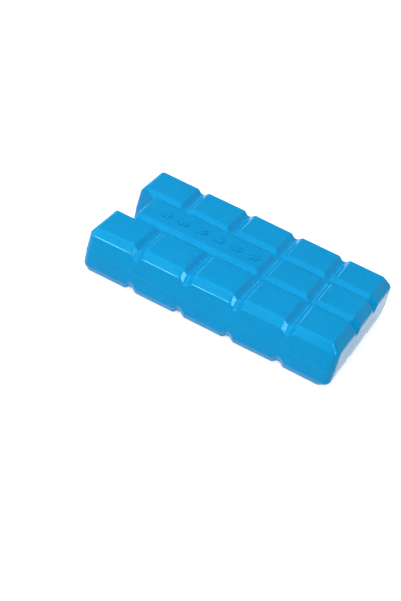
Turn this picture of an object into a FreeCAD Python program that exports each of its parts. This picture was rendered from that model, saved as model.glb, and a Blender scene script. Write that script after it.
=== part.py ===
import FreeCAD, Part
import math
import os

V = FreeCAD.Vector

# Driving dimensions, in millimetres
length = 165.0            # head end to tail end, over the parting bead
width = 91.0              # over the parting bead
height = 32.0             # between the two faces of raised blocks
parting_height = 14.4     # parting plane above the lower face
corner_radius = 4.5       # upright corners, seen from above
face_corner = 1.5         # corners of the two faces, seen from above
draft_deg = 2.0           # lean of the side walls, from the parting plane
bevel_drop = 5.2          # perimeter bevel, down from the block tops
side_bevel = 2.9          # the same bevel, inward along the two long sides
head_bevel = 3.0          # inward at the notched head end
tail_bevel = 5.9          # inward at the tail end
foot_radius = 3.0         # rounding where a bevel meets the wall
shoulder_radius = 1.7     # rounding where a bevel meets the block tops
rows = 5                  # blocks along the length
row_pitch = 32.9          # cross groove to cross groove
full_rows = 2             # rows at the tail whose grooves run right across
cross_open = 7.8          # cross groove, width at the block tops
long_open = 8.2           # long groove, width at the block tops
long_offset = 14.2        # long groove centre to the middle of the pack
groove_floor = 2.2        # flat width at the bottom of every groove
groove_depth = 2.8        # below the block tops
groove_runout = 3.2       # how far a groove runs down the side wall
floor_radius = 0.8        # rounding along the groove floors
lip_radius = 1.3          # rounding along the blocks' edges
lip_lift = 0.02           # the lips start this much above the blocks, so that no cutter only grazes them
notch_depth = 13.75       # notch in the head end, from the end to its inner wall
notch_floor_half = 14.2   # half the notch width at its inner wall
notch_mouth_half = 18.0   # half the notch width at the head end
notch_inner_radius = 2.4
notch_mouth_radius = 2.8
bead_height = 0.15        # raised line where the mould halves met
bead_width = 0.8
port_radius = 7.5         # filling port, sealed shut
port_height = 1.3
port_rim = 1.6
port_recess = 0.5
beyond = 6.0              # how far a cutter reaches past the pack

# Worked out from them
half_length = length / 2 - bead_height
half_width = width / 2 - bead_height
rise = {1: height - parting_height, -1: parting_height}
inset = {face: (rise[face] - bevel_drop) * math.tan(math.radians(draft_deg)) for face in rise}
notch_floor_x = notch_depth - half_length
cross_grooves = [(i - (rows - 2) / 2) * row_pitch for i in range(rows - 1)]
bar_grooves = cross_grooves[:-full_rows]


def outline(z, shrink, on_face=False):
    """The plan outline at height z above the parting plane, moved inward by shrink, and by the bevels on a face."""
    head, tail, side = (shrink + run * on_face for run in (head_bevel, tail_bevel, side_bevel))
    x_head, x_tail, y_side = head - half_length, half_length - tail, half_width - side
    r = face_corner if on_face else corner_radius - shrink
    k = r * (1 - math.sqrt(0.5))
    corners = []
    for x, sx, sy in ((x_tail, 1, -1), (x_tail, 1, 1), (x_head, -1, 1), (x_head, -1, -1)):
        along_x = V(x - sx * r, sy * y_side, z)
        along_y = V(x, sy * (y_side - r), z)
        middle = V(x - sx * k, sy * (y_side - k), z)
        ends = (along_x, along_y) if sx != sy else (along_y, along_x)
        corners.append(Part.Arc(ends[0], middle, ends[1]).toShape())
    walls = [Part.makeLine(corners[i].lastVertex().Point, corners[(i + 1) % 4].firstVertex().Point)
             for i in range(4)]
    return Part.Wire([e for pair in zip(corners, walls) for e in pair])


def bevelled_cap(foot, rim):
    """The layer between two outlines: four flat bevels, with a ruled surface at each corner."""
    skin = [Part.Face(foot), Part.Face(rim)]
    for low, high in zip(foot.Edges, rim.Edges):
        if isinstance(low.Curve, Part.Line):
            ring = [low.firstVertex().Point, low.lastVertex().Point, high.lastVertex().Point, high.firstVertex().Point]
            skin.append(Part.Face(Part.makePolygon(ring + ring[:1])))
        else:
            skin.append(Part.makeRuledSurface(low, high))
    shell = Part.makeShell(skin)
    shell.sewShape()
    cap = Part.makeSolid(shell)
    return cap if cap.Volume > 0 else cap.reversed()


def bevelled_block():
    """The pack before its grooves and notch: drafted walls and a bevel round each face, with rounded edges."""
    feet = {face: face * (rise[face] - bevel_drop) for face in rise}
    foot_lines = {face: outline(feet[face], inset[face]) for face in rise}
    walls = Part.makeLoft([foot_lines[1], outline(0.0, 0.0), foot_lines[-1]], True, True)
    caps = [bevelled_cap(foot_lines[face], outline(face * rise[face], inset[face], True)) for face in rise]
    block = walls.fuse(caps).removeSplitter()
    for levels, radius in ((feet.values(), foot_radius), ((rise[1], -rise[-1]), shoulder_radius)):
        rim = [e for e in block.Edges if e.BoundBox.ZLength < 0.02
               and any(abs(e.BoundBox.ZMin - z) < 0.02 for z in levels)]
        block = block.makeFillet(radius, rim)
    return block


def notch_cutter(narrowing):
    """What the notch takes out of the head end, made smaller all round by narrowing."""
    x_in, x_head = notch_floor_x - narrowing, -half_length - narrowing
    floor, mouth = notch_floor_half - narrowing, notch_mouth_half - narrowing
    flare = mouth + 3 * notch_mouth_radius
    half = [(x_in, floor), (x_head, mouth), (x_head, flare), (x_head - beyond, flare)]
    plan = half + [(x, -y) for x, y in reversed(half)]
    points = [V(x, y, -height) for x, y in plan]
    cutter = Part.Face(Part.makePolygon(points + points[:1])).extrude(V(0, 0, 2 * height))
    for x, y, radius in ((x_in, floor, notch_inner_radius), (x_head, mouth, notch_mouth_radius)):
        upright = [e for e in cutter.Edges
                   if e.BoundBox.ZLength > height and abs(e.BoundBox.XMin - x) < 0.01
                   and abs(abs(e.BoundBox.YMin) - y) < 0.01]
        cutter = cutter.makeFillet(radius, upright)
    return cutter


def trough(opening, depth, start, end, outward):
    """A groove cutter with sloping flanks and rounded lips, along the line start to end on the surface."""
    run = (end - start).normalize()
    across = run.cross(outward)
    flank = math.atan2(depth, (opening - groove_floor) / 2)
    half_mouth = opening / 2 + lip_lift / math.tan(flank) + lip_radius * math.tan(flank / 2)

    def at(a, up):
        return start + across * a + outward * up

    def on_lip(side, turn):
        return at(side * (half_mouth - lip_radius * math.sin(turn)), lip_lift - lip_radius * (1 - math.cos(turn)))

    lips = [Part.Arc(on_lip(side, 0.0), on_lip(side, flank / 2), on_lip(side, flank)).toShape() for side in (1, -1)]
    bottom = [on_lip(1, flank), at(groove_floor / 2, -depth), at(-groove_floor / 2, -depth), on_lip(-1, flank)]
    top = [on_lip(1, 0.0), at(half_mouth, beyond), at(-half_mouth, beyond), on_lip(-1, 0.0)]
    lines = [Part.makeLine(a, b) for path in (bottom, top) for a, b in zip(path, path[1:])]
    profile = Part.Wire(Part.sortEdges(lips + lines)[0])
    cutter = Part.Face(profile).extrude(end - start)
    floor = [e for e in cutter.Edges if all(
        abs((v.Point - start).dot(outward) + depth) < 0.01 for v in e.Vertexes)
        and abs((e.lastVertex().Point - e.firstVertex().Point).normalize().dot(run)) > 0.9]
    return cutter.makeFillet(floor_radius, floor)


def groove(face, opening, half_span, inner_end, bevels):
    """A groove along Y on one face (1 upper, -1 lower), bent down the bevels at its +Y and -Y ends."""
    up = V(0, 0, face)
    reach = half_span - inset[face]
    parts = []
    for side, bevel in zip((1, -1), bevels):
        shoulder = V(0, side * (reach - bevel), face * rise[face])
        foot = V(0, side * reach, face * (rise[face] - bevel_drop))
        fall = (foot - shoulder).normalize()
        outward = V(0, side * bevel_drop, face * bevel).normalize()
        inner = V(0, side * inner_end, face * rise[face])
        depth = groove_runout * bevel / math.hypot(bevel, bevel_drop)
        parts.append(trough(opening, groove_depth, inner, shoulder + V(0, side * beyond, 0), up))
        parts.append(trough(opening, depth, shoulder - fall * bevel, foot + fall * beyond, outward))
    return parts[0].fuse(parts[1:])


def all_grooves():
    """Cross grooves, and the two long grooves, on both faces."""
    cutters = []
    for face in rise:
        for x in cross_grooves:
            inner_end = long_offset if x in bar_grooves else 0.0
            cutters.append(groove(face, cross_open, half_width, inner_end, (side_bevel, side_bevel)))
            cutters[-1].translate(V(x, 0, 0))
        for y in (long_offset, -long_offset):
            cutters.append(groove(face, long_open, half_length, 0.0, (head_bevel, tail_bevel)))
            cutters[-1].rotate(V(0, 0, 0), V(0, 0, 1), 90)
            cutters[-1].translate(V(0, y, 0))
    return cutters


def parting_bead():
    """The fine raised line on the parting plane, round the walls and the notch."""
    plan = Part.Face(outline(-bead_width / 2, -bead_height))
    return plan.extrude(V(0, 0, bead_width)).cut(notch_cutter(bead_height))


def filling_port():
    """The round filling port on the inner wall of the notch, closed and slightly dished."""
    toward_head = V(-1, 0, 0)
    centre_z = height / 2 - parting_height
    boss = Part.makeCylinder(port_radius, 2 * port_height,
                             V(notch_floor_x + port_height, 0, centre_z), toward_head)
    rim = [e for e in boss.Edges if abs(e.BoundBox.XMax - (notch_floor_x - port_height)) < 0.01
           and e.BoundBox.YLength > port_radius]
    boss = boss.makeChamfer(port_height / 2, rim)
    dish = V(notch_floor_x - port_height + port_recess, 0, centre_z)
    return boss.cut(Part.makeCylinder(port_radius - port_rim, beyond, dish, toward_head))


def ice_pack():
    body = bevelled_block().cut(notch_cutter(0.0)).cut(all_grooves())
    return body.fuse([parting_bead(), filling_port()]).removeSplitter()


shape = ice_pack()
shape.translate(V(0, 0, parting_height))
os.makedirs("parts", exist_ok=True)
shape.Solids[0].exportStep("parts/ice_pack.step")
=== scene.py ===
import math

import bpy
import numpy as np
from mathutils import Matrix, Vector


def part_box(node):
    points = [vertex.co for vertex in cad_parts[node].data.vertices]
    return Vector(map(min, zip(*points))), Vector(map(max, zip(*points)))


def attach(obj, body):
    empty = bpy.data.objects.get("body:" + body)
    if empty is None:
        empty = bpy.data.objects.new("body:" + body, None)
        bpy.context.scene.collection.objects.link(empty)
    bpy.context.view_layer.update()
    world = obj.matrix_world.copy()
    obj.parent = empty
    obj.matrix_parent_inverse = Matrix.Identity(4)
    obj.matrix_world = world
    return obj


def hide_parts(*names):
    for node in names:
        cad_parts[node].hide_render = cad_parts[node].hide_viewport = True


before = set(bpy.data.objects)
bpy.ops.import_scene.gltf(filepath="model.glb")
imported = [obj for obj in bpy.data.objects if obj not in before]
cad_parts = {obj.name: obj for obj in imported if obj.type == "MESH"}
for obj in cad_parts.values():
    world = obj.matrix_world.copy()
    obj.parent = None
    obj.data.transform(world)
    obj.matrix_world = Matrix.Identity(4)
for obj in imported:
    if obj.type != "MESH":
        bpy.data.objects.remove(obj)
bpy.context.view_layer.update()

MM = 0.001
low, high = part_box("ice_pack")

# The pack's sizes, in millimetres, with z = 0 at the underside. The roundings are softer than the
# solid's, and the grooves a little shallower.
length, width, height = [(b - a) / MM for a, b in zip(low, high)]
parting_height = 14.4     # where the two mould halves met
corner_radius = 4.5       # upright corners, seen from above
face_corner = 2.8         # corners of the faces, seen from above
draft = math.tan(math.radians(2.0))
bevel_drop = 5.2
side_bevel = 2.9          # bevel along the two long sides, inward
head_bevel = 3.0
tail_bevel = 5.9
foot_radius = 3.0         # rounding where a bevel meets the wall
shoulder_radius = 2.6     # rounding where a bevel meets a face
rows = 5
row_pitch = 32.9
full_rows = 2             # rows at the tail whose grooves run right across
cross_open = 7.8          # width of a cross groove at the block tops
long_open = 8.2           # the same for the two long grooves
long_offset = 14.2        # long groove's centre to the middle of the pack
groove_floor = 2.2        # flat width at the bottom
groove_depth = 2.4
groove_runout = 3.0       # how far a groove runs down the side wall
floor_radius = 1.8        # rounding along the grooves' floors
lip_radius = 2.0          # rounding along the blocks' edges
bend_radius = 1.2         # where a groove turns down a bevel
notch_depth = 13.75       # from the head end to the notch's inner wall
notch_floor_half = 14.2   # half its width at the inner wall
notch_mouth_half = 18.0   # half its width at the head end
notch_inner_radius = 2.4
notch_mouth_radius = 3.4
notch_edge_radius = 1.6   # round the top and bottom of the notch
notch_edge_reach = 4.0    # how far from the notch the edges get their full rounding
bead_height = 0.15        # raised line where the mould halves met, as made
bead_width = 0.8
bead_shown = 0.1          # how high it still stands, worn and softened
port_radius = 7.5         # sealed filling port in the notch
port_height = 1.3
port_rim = 1.6
port_recess = 0.5
port_edge = 0.5

# The row of flakes raised on the long bar, in millimetres
flakes = 6
flake_pitch = 12.0
flake_start = -54.0       # middle of the one nearest the notch
flake_arms = 6
flake_reach = 4.0         # from its middle to the tip of an arm
flake_rib = 0.9           # width of an arm and of the barbs on it
flake_barbs = ((1.5, 1.3), (2.7, 1.1))  # where each pair starts along the arm, and how long it is
flake_height = 0.6        # above the bar
flake_edge = 0.3          # rounding of its top edges
flake_root = 0.4          # how far it goes down into the bar

# Slow hollows and swells left by the moulding, in millimetres, with waves in radians a millimetre
ripple_height = 0.05
ripple_phase = 5.0
ripple_waves = ((0.11, 0.13, 1.0), (0.19, -0.15, 0.6), (-0.07, 0.21, 0.7))  # along x, along y, share

# How the forms are worked out
least_slope = 0.05        # the least that a form's slope counts as
turn_limits = (-0.95, 0.995)  # cosines at which two faces count as opposite or as parallel
longest_move = 0.4        # of a mesh point toward the surface in one round, in millimetres
step_growth = 0.3         # how fast the grid widens away from its fine zones

half_length = length / 2 - bead_height
half_width = width / 2 - bead_height
rise = {1: height - parting_height, -1: parting_height}
inset = {face: (rise[face] - bevel_drop) * draft for face in rise}
notch_floor_x = notch_depth - half_length
cross_grooves = [(i - (rows - 2) / 2) * row_pitch for i in range(rows - 1)]
bar_grooves = cross_grooves[:-full_rows]


class Form:
    """How far points lie outside a shape, and the slope of that distance along x, y and z."""

    def __init__(self, value, slope):
        self.value = value
        self.slope = slope

    def __add__(self, other):
        if isinstance(other, Form):
            return Form(self.value + other.value, self.slope + other.slope)
        return Form(self.value + other, self.slope)

    def __neg__(self):
        return Form(-self.value, -self.slope)

    def __sub__(self, other):
        return self + -other

    def __mul__(self, factor):
        return Form(self.value * factor, self.slope * factor)

    def __abs__(self):
        return self * np.sign(self.value)

    def even(self):
        """The same shape, with a slope of one."""
        return self * (1 / np.maximum(np.sqrt((self.slope ** 2).sum(0)), least_slope))

    def through(self, curve, curve_slope):
        """What a curve makes of the distance."""
        return Form(curve(self.value), curve_slope(self.value) * self.slope)


def coordinates(x, y, z):
    """The three coordinates as forms, with the height counted from the parting plane."""
    forms = []
    for axis, value in enumerate((x, y, z - parting_height)):
        slope = np.zeros((3,) + value.shape)
        slope[axis] = 1
        forms.append(Form(value, slope))
    return forms


def choose(first, a, b):
    return Form(np.where(first, a.value, b.value), np.where(first, a.slope, b.slope))


def larger(a, b):
    return choose(a.value > b.value, a, b)


def smaller(a, b):
    return choose(a.value < b.value, a, b)


def distance(a, b):
    """The length whose two parts are a and b."""
    value = np.maximum(np.hypot(a.value, b.value), 1e-9)
    return Form(value, (a.value * a.slope + b.value * b.slope) / value)


def meet(a, b, radius):
    """Inside both a and b, with the edge between them rounded, whatever its angle."""
    a, b = a.even(), b.even()
    turn = np.clip((a.slope * b.slope).sum(0), *turn_limits)
    u, v = a.value + radius, b.value + radius
    on_a, on_b = u - turn * v, v - turn * u
    spread = 1 - turn * turn
    reach = np.sqrt(np.maximum((u * on_a + v * on_b) / spread, 1e-12))
    arc = Form(reach - radius, (on_a * a.slope + on_b * b.slope) / (spread * reach))
    return choose((on_a > 0) & (on_b > 0), arc, larger(a, b))


def join(a, b, radius):
    """Inside a or b, with the inner corner between them filled."""
    return -meet(-a, -b, radius)


def carve(a, b, radius):
    """Inside a and outside b, with the edge between them rounded."""
    return meet(a, -b, radius)


def smooth_step(t):
    t = np.clip(t, 0, 1)
    return t * t * (3 - 2 * t)


def bevel_plane(out, half, run, face, above):
    """The bevel on one side, where out is the distance from the middle of the pack."""
    fall = above + (bevel_drop - rise[face])
    return (out - (half - inset[face]) + fall * (run / bevel_drop)).even()


def walls(x, y, up):
    """The drafted walls with their rounded corners."""
    past_x = abs(x) + (corner_radius - half_length)
    past_y = abs(y) + (corner_radius - half_width)
    at_corner = (past_x.value > 0) & (past_y.value > 0)
    plan = choose(at_corner, distance(past_x, past_y), larger(past_x, past_y))
    return plan - corner_radius + abs(up) * draft


def parting_bead(up):
    """The fine raised line round the walls, as a height above them."""
    sharpness = (2 / bead_width) ** 2
    return up.through(lambda t: bead_shown * np.exp(-sharpness * t * t),
                      lambda t: -2 * sharpness * t * bead_shown * np.exp(-sharpness * t * t))


def near_notch(gap, radius):
    """A rounding that gets small towards the notch, where gap is the distance from it."""
    return notch_edge_radius + (radius - notch_edge_radius) * smooth_step(gap.value / notch_edge_reach)


def outer_form(x, y, up, gap):
    """Walls, notch, bevels and the two faces, before the grooves."""
    bead = parting_bead(up)
    form = carve(walls(x, y, up) - bead, gap + bead, notch_mouth_radius)
    for face in rise:
        above = up * face
        side = bevel_plane(abs(y), half_width, side_bevel, face, above)
        head = bevel_plane(-x, half_length, head_bevel, face, above)
        tail = bevel_plane(x, half_length, tail_bevel, face, above)
        climb = np.clip((above.value - (rise[face] - bevel_drop)) / bevel_drop, 0, 1)
        foot_corner = corner_radius - inset[face]
        corner = foot_corner - (foot_corner - face_corner) * climb
        bevels = meet(meet(side, head, corner), tail, corner)
        form = meet(form, bevels, near_notch(gap, foot_radius))
        form = meet(form, above - rise[face], near_notch(gap, shoulder_radius))
    return form


def notch(x, y):
    """The gap in the head end: two flared sides and an inner wall."""
    flare = (notch_mouth_half - notch_floor_half) / (half_length + notch_floor_x)
    side = abs(y) - notch_floor_half + (x - notch_floor_x) * flare
    return meet(side, x - notch_floor_x, notch_inner_radius)


def trough(across, bottom, opening, depth):
    """A groove with sloping flanks: bottom is the height above its floor."""
    slope = (opening - groove_floor) / 2 / depth
    flank = abs(across) - groove_floor / 2 - bottom * slope
    return meet(-bottom, flank, floor_radius)


def groove(across, face_height, bevels, opening):
    """A groove right across one face, which turns down the bevels at its ends and runs out on the wall."""
    form = trough(across, face_height + groove_depth, opening, groove_depth)
    for outside, run in bevels:
        depth = groove_runout * run / math.hypot(run, bevel_drop)
        form = join(form, trough(across, outside + depth, opening, depth), bend_radius)
    return form


def cross_cutters(x, y, face, above):
    bevels = [(bevel_plane(abs(y), half_width, side_bevel, face, above), side_bevel)]
    cut = None
    for gx in cross_grooves:
        one = groove(x - gx, above - rise[face], bevels, cross_open)
        if gx in bar_grooves:
            one = larger(one, -abs(y) + long_offset)
        cut = one if cut is None else smaller(cut, one)
    return cut


def long_cutters(x, y, face, above):
    bevels = [(bevel_plane(out, half_length, run, face, above), run)
              for out, run in ((-x, head_bevel), (x, tail_bevel))]
    return groove(abs(y) - long_offset, above - rise[face], bevels, long_open)


def filling_port(x, y, up):
    """The sealed round port on the inner wall of the notch."""
    radial = distance(y, up + (parting_height - height / 2))
    rim_x = notch_floor_x - port_height
    boss = meet(radial - port_radius, -x + rim_x, port_edge)
    dish = meet(radial - (port_radius - port_rim), x - (rim_x + port_recess), port_edge / 2)
    return larger(carve(boss, dish, port_edge / 2), x - (notch_floor_x + port_height))


def ripple(x, y):
    """The height of the hollows and swells."""
    total = None
    for along_x, along_y, share in ripple_waves:
        phase = x * along_x + y * along_y + ripple_phase * share
        wave = phase.through(np.sin, np.cos) * (ripple_height * share)
        total = wave if total is None else total + wave
    return total


def ice_pack(*place):
    """The whole pack: below zero inside, above zero outside."""
    x, y, up = coordinates(*place)
    gap = notch(x, y)
    form = outer_form(x, y, up, gap)
    for face in rise:
        above = up * face
        for cutters in (cross_cutters(x, y, face, above), long_cutters(x, y, face, above)):
            form = carve(form, cutters, near_notch(gap, lip_radius))
    form = join(form, filling_port(x, y, up), port_edge)
    return form - ripple(x, y)


def rib(x, y, angle, start, reach):
    """A straight rib seen from above, from the point start outward at an angle."""
    x, y = x - start[0], y - start[1]
    along = x * math.cos(angle) + y * math.sin(angle)
    across = y * math.cos(angle) - x * math.sin(angle)
    return meet(abs(along - reach / 2) - reach / 2, abs(across) - flake_rib / 2, flake_rib / 3)


def frost_flake(flake_x):
    """A small six-armed flake with two pairs of barbs on each arm, raised on the bar at flake_x."""
    def shape(*place):
        x, y, up = coordinates(*place)
        above = up - ripple(x, y) - (height - parting_height)
        ribs = []
        for arm in range(flake_arms):
            angle = 2 * math.pi * arm / flake_arms
            ribs.append(((flake_x, 0.0), angle, flake_reach))
            for start, reach in flake_barbs:
                root = (flake_x + start * math.cos(angle), start * math.sin(angle))
                ribs += [(root, angle + side * math.pi / 3, reach) for side in (1, -1)]
        plan = None
        for start, angle, reach in ribs:
            one = rib(x, y, angle, start, reach)
            plan = one if plan is None else smaller(plan, one)
        return larger(meet(plan, above - flake_height, flake_edge), -above - flake_root)
    return shape


def grid_lines(start, end, zones, coarse):
    """Places from start to end, close together in each zone (low, high, step) and wider between them."""
    places = [start]
    while places[-1] < end:
        here = places[-1]
        step = coarse
        for zone_low, zone_high, fine in zones:
            away = max(zone_low - here, here - zone_high, 0)
            step = min(step, fine + step_growth * away)
        places.append(here + step)
    return np.array(places)


def crossings(value, grid, axis):
    """Which grid edges along an axis the surface crosses, which of them start inside, and the places."""
    first, second = [slice(None)] * 3, [slice(None)] * 3
    first[axis], second[axis] = slice(None, -1), slice(1, None)
    first, second = tuple(first), tuple(second)
    a, b = value[first], value[second]
    crossed = (a < 0) != (b < 0)
    share = np.where(crossed, a / np.where(crossed, a - b, 1), 0)
    place = [g[first] for g in grid]
    place[axis] = place[axis] + share * (grid[axis][second] - place[axis])
    return crossed, a < 0, place


def cell_sides(cells, axis):
    """For every cell at once, each of its four edges along an axis, as slices of the array of edges."""
    i, j = [k for k in range(3) if k != axis]
    for di in (0, 1):
        for dj in (0, 1):
            side = [slice(None)] * 3
            side[i] = slice(di, di + cells[i])
            side[j] = slice(dj, dj + cells[j])
            yield tuple(side)


def edge_quads(crossed, from_inside, number, axis):
    """A quad round each crossed edge along an axis, through the vertices of its four cells."""
    i, j = [k for k in range(3) if k != axis]
    inner = [slice(None)] * 3
    inner[i] = inner[j] = slice(1, -1)
    inner = tuple(inner)
    edges = np.argwhere(crossed[inner])
    outward = from_inside[inner][crossed[inner]]
    edges[:, [i, j]] += 1
    ring = []
    for di, dj in ((-1, -1), (0, -1), (0, 0), (-1, 0)):
        cell = edges.copy()
        cell[:, i] += di
        cell[:, j] += dj
        ring.append(number[tuple(cell.T)])
    ring = np.stack(ring, axis=1)
    flip = outward if axis != 1 else ~outward
    return np.where(flip[:, None], ring, ring[:, ::-1])


def surface_net(shape, axes):
    """A quad mesh of the shape's surface: one vertex in each grid cell that the surface crosses."""
    grid = np.meshgrid(*axes, indexing="ij")
    value = shape(*grid).value
    cells = tuple(n - 1 for n in value.shape)
    total, count = np.zeros((3,) + cells), np.zeros(cells, int)
    edges = [crossings(value, grid, axis) for axis in range(3)]
    for axis, (crossed, _, place) in enumerate(edges):
        for side in cell_sides(cells, axis):
            hit = crossed[side]
            count += hit
            for i in range(3):
                total[i] += np.where(hit, place[i][side], 0)
    live = count > 0
    number = np.full(cells, -1)
    number[live] = np.arange(live.sum())
    points = (total[:, live] / count[live]).T
    quads = [edge_quads(crossed, from_inside, number, axis)
             for axis, (crossed, from_inside, _) in enumerate(edges)]
    return points, np.concatenate(quads)


def settle(shape, points, rounds=5):
    """Moves each point straight onto the surface, and gives the surface's normal there."""
    for _ in range(rounds):
        form = shape(*points.T).even()
        points = points - (form.slope * np.clip(form.value, -longest_move, longest_move)).T
    return points, shape(*points.T).even().slope.T


def skin(name, parts):
    """One mesh from several shapes, each with its grid. Its normals are taken from the shapes themselves."""
    points, quads, normals, total = [], [], [], 0
    for shape, axes in parts:
        net, faces = surface_net(shape, axes)
        net, slopes = settle(shape, net)
        points.append(net)
        normals.append(slopes)
        quads.append(faces + total)
        total += len(net)
    quads = np.concatenate(quads)
    mesh = bpy.data.meshes.new(name)
    mesh.from_pydata((np.concatenate(points) * MM).tolist(), [], quads.tolist())
    mesh.polygons.foreach_set("use_smooth", np.ones(len(quads), bool))
    mesh.normals_split_custom_set_from_vertices(np.concatenate(normals).tolist())
    print(name, total, "vertices,", 2 * len(quads), "triangles")
    return mesh


def pack_mesh():
    """The moulded pack as one mesh, fine at its edges, grooves, notch and parting line."""
    margin = 1.0
    fine, finest, wide, tall = 0.5, 0.14, 1.8, 1.4
    groove_zone, notch_zone, tail_zone, side_zone, face_zone, bead_zone = 5.4, 1.5, 8.0, 6.0, 8.5, 0.5
    x_end, y_end, z_end = half_length + margin, half_width + margin, height + margin
    x_zones = [(gx - groove_zone, gx + groove_zone, fine) for gx in cross_grooves]
    x_zones += [(-x_end, notch_floor_x + notch_zone, fine), (half_length - tail_zone, x_end, fine)]
    y_zones = [(gy - groove_zone, gy + groove_zone, fine) for gy in (long_offset, -long_offset)]
    y_zones += [(half_width - side_zone, y_end, fine), (-y_end, side_zone - half_width, fine)]
    z_zones = [(-margin, face_zone, fine), (height - face_zone, z_end, fine),
               (parting_height - bead_zone, parting_height + bead_zone, finest)]
    axes = [grid_lines(-x_end, x_end, x_zones, wide),
            grid_lines(-y_end, y_end, y_zones, wide),
            grid_lines(-margin, z_end, z_zones, tall)]
    return skin("ice_pack_body", [(ice_pack, axes)])


def frost_mesh():
    """The row of flakes as one mesh."""
    step = 0.14
    room, below, above = flake_reach + 0.5, 0.7, 0.8
    parts = []
    for i in range(flakes):
        flake_x = flake_start + flake_pitch * i
        axes = [np.arange(flake_x - room, flake_x + room, step), np.arange(-room, room, step),
                np.arange(height - below, height + above, step)]
        parts.append((frost_flake(flake_x), axes))
    return skin("frost_flakes", parts)


def set_inputs(tree, node, inputs):
    """Sets a node's inputs, each to a value or linked from a socket."""
    for name, value in inputs.items():
        if isinstance(value, bpy.types.NodeSocket):
            tree.links.new(value, node.inputs[name])
        else:
            node.inputs[name].default_value = value


def add_node(tree, kind, inputs=None, **options):
    """Adds a shader node and gives its outputs."""
    node = tree.nodes.new("ShaderNode" + kind)
    for option, value in options.items():
        setattr(node, option, value)
    set_inputs(tree, node, inputs or {})
    return node.outputs


def plastic():
    """Blue polyethylene: fine matt grain on the pads, smoother and glossier on the bevels and walls."""
    wall_blue, pad_blue = (0.0, 0.33, 0.69, 1), (0.001, 0.31, 0.66, 1)
    wall_roughness, pad_roughness = 0.16, 0.85
    bevel_level, pad_level = 0.93, 0.995      # how level a surface is, as the size of its normal's z
    cloud_scale, grain_scale = 45, 1400
    cloud_low, cloud_high = 0.92, 1.06        # what cloudiness and grain make of the colour
    speckle_low, speckle_high = 0.7, 1.3
    grain_height, grain_strength = 0.00025, 0.8     # the height in metres

    material = bpy.data.materials.new("blue_polyethylene")
    material.use_nodes = True
    tree = material.node_tree
    place = add_node(tree, "TexCoord")["Object"]
    facing = add_node(tree, "SeparateXYZ", {0: add_node(tree, "NewGeometry")["True Normal"]})["Z"]
    level = add_node(tree, "Math", {0: facing}, operation="ABSOLUTE")[0]
    pad = add_node(tree, "MapRange", {"Value": level, "From Min": bevel_level, "From Max": pad_level})[0]
    cloud = add_node(tree, "TexNoise", {"Vector": place, "Scale": cloud_scale, "Detail": 3})["Fac"]
    grain = add_node(tree, "TexNoise", {"Vector": place, "Scale": grain_scale, "Detail": 4})["Fac"]

    shade = add_node(tree, "MapRange", {"Value": cloud, "To Min": cloud_low, "To Max": cloud_high})[0]
    speckle = add_node(tree, "MapRange", {"Value": grain, "To Min": speckle_low, "To Max": speckle_high})[0]
    mottle = add_node(tree, "Math", {0: shade, 1: speckle}, operation="MULTIPLY")[0]
    # Inputs 6 and 7 of a colour Mix are its two colours, and output 2 is the mixed one
    tint = add_node(tree, "Mix", {0: pad, 6: wall_blue, 7: pad_blue}, data_type="RGBA")[2]
    colour = add_node(tree, "Mix", {0: 1, 6: tint, 7: mottle}, data_type="RGBA", blend_type="MULTIPLY")[2]
    roughness = add_node(tree, "MapRange", {
        "Value": pad, "To Min": wall_roughness, "To Max": pad_roughness})[0]
    relief = add_node(tree, "Math", {0: grain, 1: pad}, operation="MULTIPLY")[0]
    bump = add_node(tree, "Bump", {
        "Height": relief, "Distance": grain_height, "Strength": grain_strength})[0]

    set_inputs(tree, tree.nodes["Principled BSDF"], {
        "Base Color": colour, "Roughness": roughness, "Normal": bump,
        "IOR": 1.5, "Specular IOR Level": 0.3, "Specular Tint": (0.15, 0.7, 1.0, 1),
        "Subsurface Weight": 0.15, "Subsurface Radius": (0.25, 0.7, 1.0), "Subsurface Scale": 0.003})
    return material


def place_object(name, mesh, material):
    piece = bpy.data.objects.new(name, mesh)
    bpy.context.scene.collection.objects.link(piece)
    piece.data.materials.append(material)
    return piece


def build_pack():
    material = plastic()
    body = place_object("pack_body", pack_mesh(), material)
    flakes = place_object("frost_row", frost_mesh(), material)
    for piece in (body, flakes):
        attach(piece, "root")
    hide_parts("ice_pack")


def camera():
    """The photograph's view: azimuth from +Y, elevation above the floor, and the tilt of its frame."""
    azimuth, elevation, roll = (math.radians(a) for a in (17.34, 35.80, 16.12))
    where = Vector((191.22, -672.00, 493.11)) * MM
    focal_pixels = 1410.8
    long_side_pixels = 601
    sensor = 36.0
    forward = Vector((-math.sin(azimuth) * math.cos(elevation), math.cos(azimuth) * math.cos(elevation),
                      -math.sin(elevation)))
    level_right = forward.cross(Vector((0, 0, 1))).normalized()
    level_up = level_right.cross(forward)
    up = level_up * math.cos(roll) - level_right * math.sin(roll)
    right = forward.cross(up)
    data = bpy.data.cameras.new("camera")
    data.sensor_width = sensor
    data.lens = focal_pixels / long_side_pixels * sensor
    data.clip_end = 20
    eye = bpy.data.objects.new("camera", data)
    bpy.context.scene.collection.objects.link(eye)
    eye.matrix_world = Matrix.Translation(where) @ Matrix((right, up, -forward)).transposed().to_4x4()
    bpy.context.scene.camera = eye


def softbox(name, where, size, power, window=None):
    """A lamp that faces the pack. One with a window colour only shows as a reflection in the plastic."""
    data = bpy.data.lights.new(name, "AREA")
    data.shape = "RECTANGLE"
    data.size, data.size_y = size
    data.energy = power
    lamp = bpy.data.objects.new(name, data)
    bpy.context.scene.collection.objects.link(lamp)
    lamp.location = where
    lamp.rotation_euler = (-Vector(where)).to_track_quat("-Z", "Y").to_euler()
    if window:
        data.color = window
        lamp.visible_diffuse = False


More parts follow.
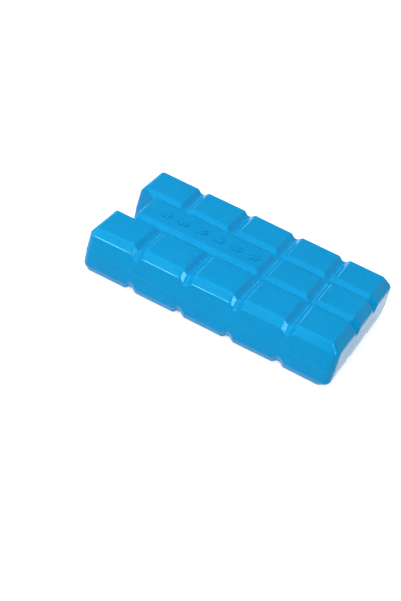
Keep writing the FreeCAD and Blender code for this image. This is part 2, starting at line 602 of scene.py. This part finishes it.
def seen_directly(tree):
    """1 where a ray comes from the camera, or from a glossy or clear surface."""
    path = add_node(tree, "LightPath")
    total = path["Is Camera Ray"]
    for ray in ("Is Glossy Ray", "Is Transmission Ray"):
        total = add_node(tree, "Math", {0: total, 1: path[ray]}, operation="ADD", use_clamp=True)[0]
    return total


def white_floor():
    """A pale floor that shows as white, and keeps the pack's shadow."""
    size, glow = 12, 0.75
    bpy.ops.mesh.primitive_plane_add(size=size)
    floor = bpy.context.object
    floor.name = "floor"
    paint = bpy.data.materials.new("floor_white")
    paint.use_nodes = True
    tree = paint.node_tree
    shine = add_node(tree, "Math", {0: seen_directly(tree), 1: glow}, operation="MULTIPLY")[0]
    set_inputs(tree, tree.nodes["Principled BSDF"], {
        "Base Color": (0.65, 0.65, 0.65, 1), "Roughness": 0.7, "Specular IOR Level": 0.2,
        "Emission Color": (1, 1, 1, 1), "Emission Strength": shine})
    floor.data.materials.append(paint)


def studio():
    """A white floor, a plain surround and soft lamps, with places and sizes in metres and power in watts."""
    world = bpy.data.worlds.new("surround")
    bpy.context.scene.world = world
    world.use_nodes = True
    tree = world.node_tree
    set_inputs(tree, tree.nodes["Background"], {"Color": (1, 1, 1, 1), "Strength": 0.5})
    white_floor()

    softbox("overhead", (-0.2, -0.2, 0.9), (0.8, 0.7), 4.2)
    softbox("front fill", (-0.5, -1.3, 0.9), (0.8, 0.8), 7.0)
    warm, cool = (1.0, 0.7, 0.75), (0.35, 0.75, 1.0)
    softbox("front window", (-0.40, -1.18, 0.105), (0.3, 0.17), 15, warm)
    softbox("right window", (0.77, -0.86, 0.35), (0.22, 0.18), 5.5, warm)
    softbox("corner window", (0.58, -0.93, 0.60), (0.2, 0.2), 10, warm)
    softbox("upper window", (0.65, -0.52, 0.87), (0.2, 0.2), 6, warm)
    softbox("left window", (-0.88, -0.68, 0.5), (0.4, 0.35), 6, warm)
    softbox("back window", (-0.65, 0.92, 0.34), (0.35, 0.18), 1.2, cool)


bpy.context.scene.view_settings.view_transform = "Standard"
camera()
studio()
build_pack()
